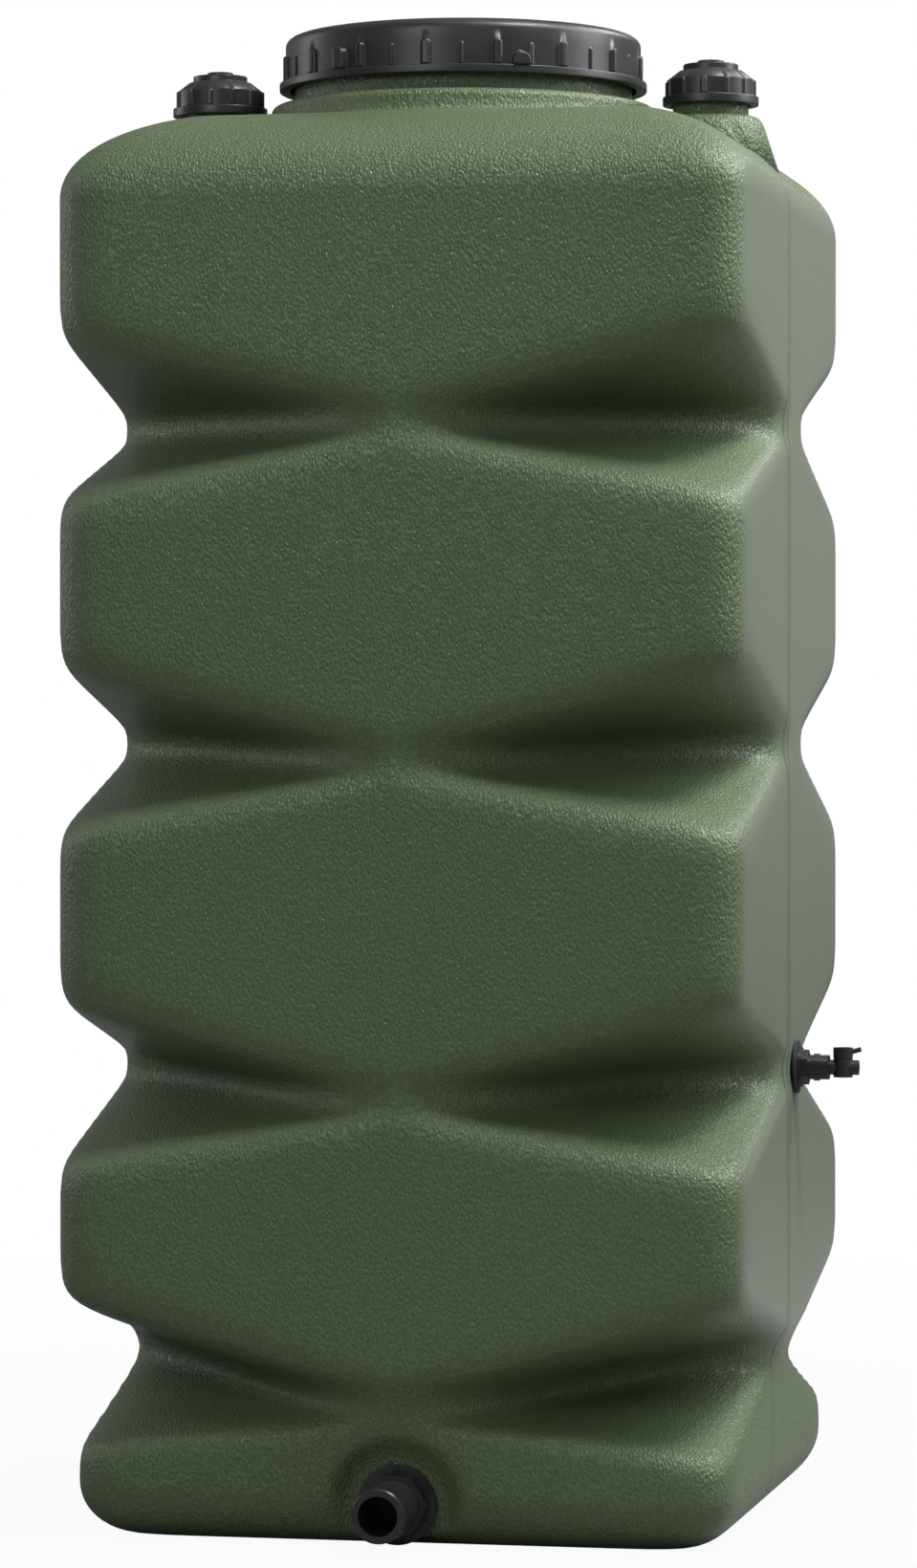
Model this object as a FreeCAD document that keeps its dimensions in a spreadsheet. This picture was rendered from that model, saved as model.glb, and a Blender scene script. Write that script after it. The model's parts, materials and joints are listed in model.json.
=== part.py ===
import FreeCAD, Part
import math
import os
import Sketcher
from FreeCAD import Placement, Rotation, Vector

# Tall garden water tank: a hollow blow-moulded shell with four waists, a screwed manhole lid,
# two screwed filler caps, a drain fitting low on the front and a small tap on the right side.
# Millimetres, +Z up, the origin on the floor under the middle, the front towards -Y.

doc = FreeCAD.newDocument("water_tank")
sheet = doc.addObject("Spreadsheet::Sheet", "Sizes")

SIZES = [
    # shell: overall form
    ("tank_width", 780.0),
    ("tank_depth", 780.0),
    ("crown_level", 1598.0),
    ("wall", 6.0),
    ("corner_power", 16.0),
    ("shoulder_reach", 230.0),
    ("shoulder_rise", 112.0),
    ("shoulder_power", 2.1),
    ("base_inset", 18.0),
    ("base_round", 62.0),
    # shell: the four waists, counted from the top
    ("waist_one", 1236.0),
    ("waist_two", 866.0),
    ("waist_three", 493.0),
    ("waist_four", 161.0),
    ("side_rise_one", 9.0),
    ("side_rise_two", 17.0),
    ("side_rise_three", 20.0),
    ("side_rise_four", 37.0),
    ("band_height", 32.0),
    ("upper_flank", 76.0),
    ("lower_flank", 70.0),
    ("base_flank", 46.0),
    ("valley_round", 12.0),
    ("pinch_front", 50.0),
    ("pinch_side", 100.0),
    # manhole neck and lid
    ("plinth_radius", 222.0),
    ("plinth_height", 20.0),
    ("plinth_root", 8.0),
    ("plinth_round", 9.0),
    ("neck_radius", 195.0),
    ("neck_wall", 8.0),
    ("neck_height", 78.0),
    ("lid_gasket", 4.0),
    ("lid_seat", 44.0),
    ("lid_radius", 205.5),
    ("lid_wall", 5.0),
    ("lid_flange_radius", 212.5),
    ("lid_flange", 9.0),
    ("lid_height", 69.0),
    ("lid_crown_drop", 6.0),
    ("lid_roof", 6.0),
    ("lid_round", 25.0),
    ("lid_rib_reach", 5.0),
    ("lid_rib_width", 9.0),
    ("lid_rib_top", 38.0),
    ("lid_rib_count", 16.0),
    ("lid_fin_reach", 2.5),
    ("lid_fin_width", 3.0),
    ("lid_fin_top", 34.0),
    ("lid_lug_reach", 9.0),
    ("latch_lug_width", 14.0),
    ("latch_lug_top", 34.0),
    ("wedge_lug_width", 21.0),
    ("wedge_lug_top", 24.0),
    # filler bosses, necks and caps
    ("cap_offset", 290.0),
    ("boss_top", 1600.0),
    ("boss_radius", 58.0),
    ("boss_drop", 80.0),
    ("boss_spread", 26.0),
    ("cap_neck_radius", 43.0),
    ("cap_neck_wall", 6.0),
    ("cap_neck_height", 39.0),
    ("cap_gasket", 3.0),
    ("cap_seat", 28.0),
    ("cap_radius", 50.0),
    ("cap_wall", 4.0),
    ("cap_flange_radius", 55.0),
    ("cap_flange", 10.0),
    ("cap_side_top", 29.0),
    ("cap_shoulder_top", 40.0),
    ("cap_shoulder_width", 14.0),
    ("cap_crown_radius", 31.5),
    ("cap_height", 47.5),
    ("cap_roof", 5.5),
    ("cap_rib_reach", 2.5),
    ("cap_rib_width", 6.0),
    ("cap_rib_count", 12.0),
    ("vent_radius", 15.5),
    ("vent_height", 4.5),
    ("vent_edge", 1.2),
    ("vent_stem_radius", 9.0),
    ("vent_stem_length", 8.0),
    # drain fitting
    ("drain_level", 47.0),
    ("recess_depth", 22.0),
    ("recess_radius", 58.0),
    ("recess_run", 26.0),
    ("recess_flare", 22.0),
    ("drain_bore_radius", 22.0),
    ("drain_tube_radius", 26.0),
    ("drain_tube_length", 41.0),
    ("drain_inner_radius", 28.5),
    ("drain_inner_flange", 6.0),
    ("drain_seal", 3.0),
    ("drain_seal_radius", 40.0),
    ("drain_nut_radius", 44.0),
    ("drain_nut_flange", 6.0),
    ("drain_hex_radius", 37.0),
    ("drain_hex_height", 13.0),
    ("drain_pip_width", 3.0),
    ("drain_pip_height", 2.0),
    ("drain_pip_count", 6.0),
    ("spigot_collar_radius", 34.0),
    ("spigot_collar", 8.0),
    ("spigot_radius", 30.0),
    ("spigot_length", 82.0),
    ("spigot_socket", 5.0),
    ("spigot_edge", 1.5),
    # tap on the right side
    ("tap_setback", 10.0),
    ("tap_pad_radius", 33.0),
    ("tap_pad_reach", 391.0),
    ("tap_pad_depth", 13.0),
    ("tap_tube_radius", 10.0),
    ("tap_tube_bore", 6.0),
    ("tap_tube_length", 43.0),
    ("tap_seal", 3.0),
    ("tap_seal_radius", 30.0),
    ("tap_inner_radius", 22.0),
    ("tap_inner_flange", 6.0),
    ("tap_nut_radius", 23.0),
    ("tap_nut_flange", 4.0),
    ("tap_hex_radius", 20.0),
    ("tap_hex_height", 8.0),
    ("tap_socket_radius", 14.0),
    ("tap_socket_length", 23.0),
    ("tap_socket_depth", 7.0),
    ("tap_collar_radius", 15.5),
    ("tap_collar_width", 6.0),
    ("tap_waist_radius", 8.5),
    ("tap_bore_radius", 5.0),
    ("barrel_run", 39.0),
    ("barrel_radius", 11.0),
    ("barrel_half_height", 11.0),
    ("barrel_floor", 3.0),
    ("nozzle_reach", 18.0),
    ("plug_radius", 7.5),
    ("plug_height", 14.0),
    ("stem_radius", 4.0),
    ("stem_height", 11.5),
    ("stem_seal_height", 1.2),
    ("gland_height", 3.0),
    ("hub_radius", 11.2),
    ("hub_height", 11.2),
    ("hub_dish_radius", 8.0),
    ("hub_dish_depth", 3.0),
    ("lever_radius", 2.8),
    ("lever_root", 8.0),
    ("lever_length", 13.0),
    ("lever_rise", 6.0),
    ("lever_pitch", 15.0),
    ("screw_radius", 2.0),
    ("screw_length", 7.0),
    ("screw_head_radius", 3.6),
    ("screw_head", 2.2),
    # fits
    ("fit_clearance", 0.3),
    ("running_clearance", 0.5),
]


class Size:
    """A number of the sheet, or a sum made of them, that knows its value and its expression."""

    def __init__(self, value, text):
        self.value = value
        self.text = text

    def __add__(self, other):
        other = as_size(other)
        return Size(self.value + other.value, f"({self.text} + {other.text})")

    def __sub__(self, other):
        other = as_size(other)
        return Size(self.value - other.value, f"({self.text} - {other.text})")

    def __mul__(self, other):
        other = as_size(other)
        return Size(self.value * other.value, f"({self.text} * {other.text})")

    def __truediv__(self, other):
        other = as_size(other)
        return Size(self.value / other.value, f"({self.text} / {other.text})")

    def __neg__(self):
        return Size(-self.value, f"(0 - {self.text})")


def as_size(number):
    return number if isinstance(number, Size) else Size(float(number), repr(float(number)))


class SizeTable:
    """The sheet's named sizes, as attributes."""


size = SizeTable()
for row, (name, number) in enumerate(SIZES, start=1):
    sheet.set(f"A{row}", name)
    sheet.set(f"B{row}", repr(number))
    sheet.setAlias(f"B{row}", name)
doc.recompute()
for name, number in SIZES:
    setattr(size, name, Size(float(sheet.get(name)), f"Sizes.{name}"))

UPRIGHT = Rotation()
TO_FRONT = Rotation(Vector(1, 0, 0), 90)
TO_RIGHT = Rotation(Vector(0, 1, 0), 90)


# Helpers that tie the document's objects to the sheet

def bind(thing, prop, amount):
    thing.setExpression(prop, as_size(amount).text)


def put(thing, spot=(0, 0, 0), turn=UPRIGHT):
    """Place a piece, each coordinate bound to the sheet."""
    spot = [as_size(amount) for amount in spot]
    thing.Placement = Placement(Vector(*[amount.value for amount in spot]), turn)
    for letter, amount in zip("xyz", spot):
        bind(thing, f"Placement.Base.{letter}", amount)
    return thing


def cylinder(name, radius, height, spot=(0, 0, 0), turn=UPRIGHT):
    part = doc.addObject("Part::Cylinder", name)
    bind(part, "Radius", radius)
    bind(part, "Height", height)
    return put(part, spot, turn)


def cone(name, bottom_radius, top_radius, height, spot):
    part = doc.addObject("Part::Cone", name)
    bind(part, "Radius1", bottom_radius)
    bind(part, "Radius2", top_radius)
    bind(part, "Height", height)
    return put(part, spot)


def hexagon(name, circumradius, height, spot, turn):
    part = doc.addObject("Part::Prism", name)
    part.Polygon = 6
    bind(part, "Circumradius", circumradius)
    bind(part, "Height", height)
    return put(part, spot, turn)


def joined(name, pieces):
    part = doc.addObject("Part::MultiFuse", name)
    part.Shapes = pieces
    part.Refine = False
    return part


def without(name, base, tool):
    part = doc.addObject("Part::Cut", name)
    part.Base = base
    part.Tool = tool
    part.Refine = False
    return part


def ring(name, outer, inner, height, spot, turn=UPRIGHT):
    """A flat ring: a disc with a hole through it."""
    disc = cylinder(f"{name}_disc", outer, height, spot, turn)
    hole = cylinder(f"{name}_hole", inner, height, spot, turn)
    return without(name, disc, hole)


def origin_piece(body, role):
    return [item for item in body.Origin.OriginFeatures if item.Role == role][0]


def held_outline(sketch, corners):
    """Closed straight outline in a sketch, every corner held by dimensions from the sheet."""
    spots = [(as_size(across), as_size(along)) for across, along in corners]
    points = [Vector(across.value, along.value, 0) for across, along in spots]
    count = len(points)
    lines = [Part.LineSegment(points[i], points[(i + 1) % count]) for i in range(count)]
    sketch.addGeometry(lines, False)
    for i in range(count):
        sketch.addConstraint(Sketcher.Constraint("Coincident", i, 2, (i + 1) % count, 1))
    for i, (across, along) in enumerate(spots):
        for kind, axis, amount in (("DistanceX", -2, across), ("DistanceY", -1, along)):
            if abs(amount.value) < 1e-9:
                sketch.addConstraint(Sketcher.Constraint("PointOnObject", i, 1, axis))
                continue
            held = sketch.addConstraint(Sketcher.Constraint(kind, -1, 1, i, 1, amount.value))
            sketch.setExpression(f"Constraints[{held}]", amount.text)


def turned(name, corners):
    """A body turned about its own Z from a half section of (radius, height) corners."""
    body = doc.addObject("PartDesign::Body", name)
    sketch = body.newObject("Sketcher::SketchObject", f"{name}_section")
    sketch.AttachmentSupport = [(origin_piece(body, "XZ_Plane"), "")]
    sketch.MapMode = "FlatFace"
    held_outline(sketch, corners)
    lathe = body.newObject("PartDesign::Revolution", f"{name}_turn")
    lathe.Profile = sketch
    lathe.ReferenceAxis = (sketch, ["V_Axis"])
    lathe.Angle = 360
    body.Tip = lathe
    doc.recompute()
    return body


def round_edge(body, radius, across, along):
    """Round the circular edge at one (radius, height) spot of a turned body."""
    last = body.Tip
    chosen = []
    for number, edge in enumerate(last.Shape.Edges, start=1):
        if edge.Curve.TypeId != "Part::GeomCircle":
            continue
        near = abs(edge.Curve.Radius - across.value) < 0.01
        if near and abs(edge.Curve.Center.z - along.value) < 0.01:
            chosen.append(f"Edge{number}")
    fillet = body.newObject("PartDesign::Fillet", f"{body.Name}_round")
    fillet.Base = (last, chosen)
    bind(fillet, "Radius", radius)
    body.Tip = fillet
    doc.recompute()


def upright(body, name, angle, reach, width, low, high):
    """A rectangular rib standing on a turned body, from an inner to an outer radius."""
    inner, outer = reach
    low, high = as_size(low), as_size(high)
    sketch = body.newObject("Sketcher::SketchObject", f"{name}_plan")
    sketch.AttachmentSupport = [(origin_piece(body, "XY_Plane"), "")]
    sketch.MapMode = "FlatFace"
    sketch.AttachmentOffset = Placement(Vector(0, 0, low.value), Rotation(Vector(0, 0, 1), angle))
    sketch.setExpression("AttachmentOffset.Base.z", low.text)
    half = width / 2
    held_outline(sketch, [(inner, -half), (outer, -half), (outer, half), (inner, half)])
    pad = body.newObject("PartDesign::Pad", name)
    pad.Profile = sketch
    bind(pad, "Length", high - low)
    body.Tip = pad
    doc.recompute()
    return pad


def repeated(body, pad, count):
    """Repeat a pad evenly round its body."""
    pattern = body.newObject("PartDesign::PolarPattern", f"{pad.Name}_round")
    pattern.Originals = [pad]
    pattern.Axis = (origin_piece(body, "Z_Axis"), [""])
    pattern.Angle = 360
    bind(pattern, "Occurrences", count)
    body.Tip = pattern
    doc.recompute()


# The shell's skin.  A level section is the curve (|x|/a)^p + (|y|/b)^p + ((m|x| + n|y|)/c)^p = 1:
# a and b are the half width and half depth, (m, n) is the direction and c the distance of the
# line that cuts each corner, and the power p rounds the meetings.  At a waist c is small and the
# section is nearly a diamond.  Away from it c grows evenly until the line clears the corner.
# The sides of a waist stand higher than its front and back, by the side rise times (x/r)^2.

HALF_WIDTH = size.tank_width / 2
HALF_DEPTH = size.tank_depth / 2
WAISTS = [
    (size.waist_four.value, size.side_rise_four.value, size.base_flank.value),
    (size.waist_three.value, size.side_rise_three.value, size.lower_flank.value),
    (size.waist_two.value, size.side_rise_two.value, size.lower_flank.value),
    (size.waist_one.value, size.side_rise_one.value, size.lower_flank.value),
]
SAMPLES_PER_QUARTER = 240
LENGTH_SHARE = 0.5
FURTHEST_CUT = 1.6


def corner_line():
    """Direction of the line through the pinch points of one corner, and its distances from the
    axis at a waist and where it would clear the corner."""
    across = HALF_DEPTH.value - size.pinch_side.value
    along = HALF_WIDTH.value - size.pinch_front.value
    length = math.hypot(across, along)
    across, along = across / length, along / length
    at_waist = across * size.pinch_front.value + along * HALF_DEPTH.value
    at_corner = across * HALF_WIDTH.value + along * HALF_DEPTH.value
    return across, along, at_waist, at_corner


def corner_distance(level):
    """Distance of the corner line from the axis at one level."""
    across, along, at_waist, at_corner = corner_line()
    nearest = FURTHEST_CUT
    for waist, rise, below in WAISTS:
        flank = size.upper_flank.value if level > waist else below
        past = abs(level - waist) - size.band_height.value / 2
        soft = (past + math.hypot(past, size.valley_round.value)) / 2
        nearest = min(nearest, soft / flank)
    return at_waist + (at_corner - at_waist) * nearest


def side_rise(level):
    """How far the sides of the shell stand above its front at one level."""
    knots = [(size.base_round.value, 0.0)]
    knots += [(waist, rise) for waist, rise, below in WAISTS]
    knots += [(size.crown_level.value - size.shoulder_rise.value, 0.0)]
    for (low, first), (high, second) in zip(knots, knots[1:]):
        if low <= level <= high:
            share = (level - low) / (high - low)
            return first + (second - first) * share * share * (3 - 2 * share)
    return 0.0


def quarter_curve(level, inset, skin):
    """Closely spaced points of a quarter section, from the right side to the back."""
    across, along, at_waist, at_corner = corner_line()
    power = size.corner_power.value
    slope = corner_distance(level + 0.5) - corner_distance(level - 0.5)
    cut = corner_distance(level) - skin * math.hypot(1, slope) - inset * (across + along)
    curve = []
    for k in range(SAMPLES_PER_QUARTER + 1):
        angle = math.pi / 2 * k / SAMPLES_PER_QUARTER
        ex, ey = math.cos(angle), math.sin(angle)
        total = (ex / (HALF_WIDTH.value - inset - skin)) ** power
        total += (ey / (HALF_DEPTH.value - inset - skin)) ** power
        total += ((across * ex + along * ey) / cut) ** power
        radius = total ** (-1 / power)
        curve.append((radius * ex, radius * ey))
    return curve


def spread(curve, steps):
    """Pick points along a curve, closest together where it turns most."""
    length = sum(math.dist(near, far) for near, far in zip(curve, curve[1:]))
    weights = [0.0]
    heading = math.pi / 2
    for near, far in zip(curve, curve[1:]):
        new_heading = math.atan2(far[1] - near[1], far[0] - near[0])
        turn = abs(new_heading - heading) / (math.pi / 2)
        heading = new_heading
        weights.append(weights[-1] + turn + LENGTH_SHARE * math.dist(near, far) / length)
    picked = []
    k = 0
    for i in range(steps + 1):
        goal = weights[-1] * i / steps
        while k < len(curve) - 2 and weights[k + 1] < goal:
            k += 1
        share = min(1.0, (goal - weights[k]) / (weights[k + 1] - weights[k]))
        x = curve[k][0] + (curve[k + 1][0] - curve[k][0]) * share
        y = curve[k][1] + (curve[k + 1][1] - curve[k][1]) * share
        picked.append((x, y))
    return picked


def section(level, inset, skin, steps):
    """One closed section, mirrored from its quarter, with its sides raised."""
    quarter = spread(quarter_curve(level, inset, skin), steps)
    plan = quarter[:-1]
    plan += [(-x, y) for x, y in reversed(quarter[1:])]
    plan += [(-x, -y) for x, y in quarter[:-1]]
    plan += [(x, -y) for x, y in reversed(quarter[1:])]
    rise = side_rise(level)
    return [(x, y, level + rise * x * x / (x * x + y * y)) for x, y in plan]


def stations(skin, base_steps, shoulder_steps, flank_shares, band_offsets):
    """(level, inset) of every section, from the floor to the crown."""
    bend = size.base_round.value - skin
    base_inset = size.base_inset.value
    crown = size.crown_level.value
    low = crown - size.shoulder_rise.value
    found = []
    for k in range(base_steps + 1):
        angle = math.pi / 2 * k / base_steps
        level = size.base_round.value - bend * math.cos(angle)
        found.append((level, base_inset + bend * (1 - math.sin(angle))))
    half_band = size.band_height.value / 2
    for number, (waist, rise, below) in enumerate(WAISTS):
        under = base_inset if number == 0 else 0.0
        edges = (found[-1][0] + 0.3 * below, low - 0.3 * size.upper_flank.value)
        levels = [(waist - half_band - below * share, under) for share in flank_shares]
        for offset in band_offsets:
            levels.append((waist + offset * half_band, under * (1 - offset) / 2))
        levels += [(waist + half_band + size.upper_flank.value * share, 0.0)
                   for share in reversed(flank_shares)]
        found += [station for station in levels if edges[0] <= station[0] <= edges[1]]
    power = size.shoulder_power.value
    for k in range(shoulder_steps + 1):
        angle = math.pi / 2 * k / shoulder_steps
        lift = math.sin(angle) ** (2 / power)
        back = 1 - max(0.0, math.cos(angle)) ** (2 / power)
        found.append((low + (crown - skin - low) * lift, size.shoulder_reach.value * back))
    return found


def skinned(rows):
    """A closed solid of small flat facets through closed rows of points, ends capped."""
    count = len(rows[0])
    points = [point for points_of_row in rows for point in points_of_row]
    facets = []
    for j in range(len(rows) - 1):
        for i in range(count):
            a, b = j * count + i, j * count + (i + 1) % count
            c, d = a + count, b + count
            if math.dist(points[a], points[d]) < math.dist(points[b], points[c]):
                facets += [(a, b, d), (a, d, c)]
            else:
                facets += [(a, b, c), (b, d, c)]
    for first, level in ((0, rows[0][0][2]), ((len(rows) - 1) * count, rows[-1][0][2])):
        hub = len(points)
        points.append((0.0, 0.0, level))
        for i in range(count):
            edge = (first + i, first + (i + 1) % count)
            facets.append((hub, edge[1], edge[0]) if first == 0 else (hub, edge[0], edge[1]))
    shape = Part.Shape()
    shape.makeShapeFromMesh((points, facets), 0.01, False)
    return Part.Solid(Part.Shell(shape.Faces))


def skin(name, depth, steps, levels):
    part = doc.addObject("Part::Feature", name)
    part.Shape = skinned([section(level, inset, depth, steps) for level, inset in levels])
    return part


def arch(name, margin):
    """The drain recess, or at a margin its outside: an arch on straight legs, wider in front."""
    back = -(HALF_DEPTH - size.base_inset - size.recess_depth).value + margin
    front = back - size.recess_run.value - margin
    flare = size.recess_flare.value * (back - front) / size.recess_run.value
    wires = []
    for y, radius in ((back, size.recess_radius.value + margin),
                      (front, size.recess_radius.value + margin + flare)):
        level = size.drain_level.value
        top = Vector(0, y, level + radius)
        right, left = Vector(radius, y, level), Vector(-radius, y, level)
        foot_right, foot_left = Vector(radius, y, -1), Vector(-radius, y, -1)
        edges = [Part.Arc(right, top, left).toShape(), Part.makeLine(left, foot_left)]
        edges += [Part.makeLine(foot_left, foot_right), Part.makeLine(foot_right, right)]
        wires.append(Part.Wire(edges))
    part = doc.addObject("Part::Feature", name)
    part.Shape = Part.makeLoft(wires, True, True)
    return part


# Shell

NECK_TOP = size.crown_level + size.neck_height
CAP_NECK_TOP = size.boss_top + size.cap_neck_height
BORE_START = size.crown_level - size.shoulder_rise
DRAIN_WALL = HALF_DEPTH - size.base_inset - size.recess_depth
TAP_LEVEL = size.waist_three + size.side_rise_three
TAP_WALL = size.tap_pad_reach - size.tap_pad_depth


def filler_boss(side, name, margin):
    """The raised mound under one filler neck, or at a margin the hollow inside it."""
    across = size.cap_offset * side
    foot = size.boss_top - size.boss_drop
    radius = size.boss_radius - margin
    return cone(name, radius + size.boss_spread, radius, size.boss_drop - margin, (across, 0, foot))


def make_tank_body():
    outer = skin("outer_skin", 0.0, 14,
                 stations(0.0, 5, 8, (1.3, 1.0, 0.6), (-1.75, -1, 0, 1, 1.75)))
    inner = skin("inner_skin", size.wall.value, 9,
                 stations(size.wall.value, 6, 5, (1.3, 0.9), (-1.75, -0.8, 0.8, 1.75)))
    hollow = without("hollow_shell", outer, inner)
    plinth = turned("plinth", [
        (0, size.crown_level - size.plinth_root),
        (size.plinth_radius, size.crown_level - size.plinth_root),
        (size.plinth_radius, size.crown_level + size.plinth_height),
        (0, size.crown_level + size.plinth_height),
    ])
    round_edge(plinth, size.plinth_round, size.plinth_radius, size.crown_level + size.plinth_height)
    neck = cylinder("manhole_neck", size.neck_radius, size.neck_height, (0, 0, size.crown_level))
    added = [plinth, neck]
    removed = [cylinder("manhole_bore", size.neck_radius - size.neck_wall, NECK_TOP - BORE_START,
                        (0, 0, BORE_START))]
    for side, word in ((-1, "left"), (1, "right")):
        across = size.cap_offset * side
        added.append(filler_boss(side, f"{word}_boss", as_size(0)))
        added.append(cylinder(f"{word}_neck", size.cap_neck_radius, size.cap_neck_height,
                              (across, 0, size.boss_top)))
        removed.append(filler_boss(side, f"{word}_boss_hollow", size.wall))
        removed.append(cylinder(f"{word}_bore", size.cap_neck_radius - size.cap_neck_wall,
                                CAP_NECK_TOP - BORE_START, (across, 0, BORE_START)))
    top_works = without("top_works", joined("top_blank", added), inner)
    drain_boss = doc.addObject("Part::Common", "drain_boss")
    drain_boss.Base = arch("drain_boss_blank", size.wall.value)
    drain_boss.Tool = outer
    drain_boss.Refine = False
    pad = cylinder("tap_pad", size.tap_pad_radius, size.tap_pad_depth,
                   (TAP_WALL, -size.tap_setback, TAP_LEVEL), TO_RIGHT)
    removed.append(arch("drain_recess", 0.0))
    removed.append(cylinder("drain_hole", size.drain_tube_radius + size.fit_clearance,
                            size.wall * 2, (0, -(DRAIN_WALL - size.wall * 1.5), size.drain_level),
                            TO_FRONT))
    removed.append(cylinder("tap_hole", size.tap_tube_radius + size.fit_clearance,
                            size.tap_pad_depth, (TAP_WALL, -size.tap_setback, TAP_LEVEL), TO_RIGHT))
    solid = joined("tank_blank", [hollow, top_works, drain_boss, pad])
    return without("tank_body", solid, joined("tank_openings", removed))


# Manhole lid and its gasket

LID_BASE = NECK_TOP + size.lid_gasket - size.lid_seat


def make_manhole_lid():
    inner = size.lid_radius - size.lid_wall
    roof = size.lid_height - size.lid_roof
    edge_top = size.lid_height - size.lid_crown_drop
    bowl = inner - size.lid_wall * 5
    lid = turned("manhole_lid", [
        (0, roof),
        (bowl, edge_top - size.lid_roof),
        (bowl + size.lid_wall, size.lid_seat),
        (inner - size.lid_gasket, size.lid_seat),
        (inner, size.lid_seat - size.lid_flange),
        (inner, 0),
        (size.lid_flange_radius, 0),
        (size.lid_flange_radius, size.lid_flange),
        (size.lid_radius, size.lid_flange),
        (size.lid_radius, edge_top),
        (0, size.lid_height),
    ])
    round_edge(lid, size.lid_round, size.lid_radius, edge_top)
    root = size.lid_radius - size.lid_wall / 2
    low = size.lid_flange / 2
    rib = upright(lid, "lid_rib", 0, (root, size.lid_radius + size.lid_rib_reach),
                  size.lid_rib_width, low, size.lid_rib_top)
    repeated(lid, rib, size.lid_rib_count)
    fin = upright(lid, "lid_fin", 180 / size.lid_rib_count.value,
                  (root, size.lid_radius + size.lid_fin_reach), size.lid_fin_width, low,
                  size.lid_fin_top)
    repeated(lid, fin, size.lid_rib_count)
    lug_reach = (root, size.lid_radius + size.lid_lug_reach)
    upright(lid, "latch_lug", -120, lug_reach, size.latch_lug_width, low, size.latch_lug_top)
    upright(lid, "wedge_lug", -60, lug_reach, size.wedge_lug_width, low, size.wedge_lug_top)
    return put(lid, (0, 0, LID_BASE))


def make_manhole_gasket():
    inner = size.neck_radius - size.neck_wall
    return ring("manhole_gasket", size.neck_radius, inner, size.lid_gasket, (0, 0, NECK_TOP))


# Filler caps, their gaskets and vent plugs

CAP_BASE = CAP_NECK_TOP + size.cap_gasket - size.cap_seat


def make_cap(side, word):
    inner = size.cap_radius - size.cap_wall
    bowl = size.cap_crown_radius - size.cap_wall
    cap = turned(f"{word}_cap", [
        (size.vent_stem_radius + size.fit_clearance, size.cap_height - size.cap_roof),
        (bowl, size.cap_height - size.cap_roof),
        (bowl, size.cap_seat + size.cap_wall * 2),
        (bowl + size.cap_wall, size.cap_seat),
        (inner, size.cap_seat),
        (inner, 0),
        (size.cap_flange_radius, 0),
        (size.cap_flange_radius, size.cap_flange),
        (size.cap_radius, size.cap_flange),
        (size.cap_radius, size.cap_side_top),
        (size.cap_radius - size.cap_shoulder_width, size.cap_shoulder_top),
        (size.cap_crown_radius, size.cap_shoulder_top),
        (size.cap_crown_radius, size.cap_height),
        (size.vent_stem_radius + size.fit_clearance, size.cap_height),
    ])
    rib = upright(cap, f"{word}_cap_rib", 0,
                  (size.cap_radius - size.cap_wall / 2, size.cap_radius + size.cap_rib_reach),
                  size.cap_rib_width, size.cap_flange / 2, size.cap_side_top)
    repeated(cap, rib, size.cap_rib_count)
    return put(cap, (size.cap_offset * side, 0, CAP_BASE))


def make_cap_gasket(side, word):
    inner = size.cap_neck_radius - size.cap_neck_wall
    return ring(f"{word}_cap_gasket", size.cap_neck_radius, inner, size.cap_gasket,
                (size.cap_offset * side, 0, CAP_NECK_TOP))


def make_vent_plug(side, word):
    plug = turned(f"{word}_vent_plug", [
        (0, -size.vent_stem_length),
        (size.vent_stem_radius, -size.vent_stem_length),
        (size.vent_stem_radius, 0),
        (size.vent_radius, 0),
        (size.vent_radius, size.vent_height - size.vent_edge),
        (size.vent_radius - size.vent_edge, size.vent_height),
        (0, size.vent_height),
    ])
    return put(plug, (size.cap_offset * side, 0, CAP_BASE + size.cap_height))


# Drain fitting, built along its own axis and turned to face the front

def drain_spot(out):
    """A point on the drain axis, counted outwards from the recess floor."""
    return (0, -(DRAIN_WALL + out), size.drain_level)


NUT_FACE = size.drain_seal + size.drain_nut_flange
SPIGOT_FOOT = NUT_FACE + size.drain_hex_height


def make_drain_bulkhead():
    fitting = turned("drain_bulkhead", [
        (size.drain_bore_radius, 0),
        (size.drain_inner_radius, 0),
        (size.drain_inner_radius, size.drain_inner_flange),
        (size.drain_tube_radius, size.drain_inner_flange),
        (size.drain_tube_radius, size.drain_tube_length),
        (size.drain_bore_radius, size.drain_tube_length),
    ])
    inside = -(size.wall + size.drain_seal + size.drain_inner_flange)
    return put(fitting, drain_spot(inside), TO_FRONT)


def make_drain_inner_seal():
    return ring("drain_inner_seal", size.drain_inner_radius, size.drain_tube_radius,
                size.drain_seal, drain_spot(-(size.wall + size.drain_seal)), TO_FRONT)


def make_drain_outer_seal():
    return ring("drain_outer_seal", size.drain_seal_radius, size.drain_tube_radius,
                size.drain_seal, drain_spot(as_size(0)), TO_FRONT)


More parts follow.
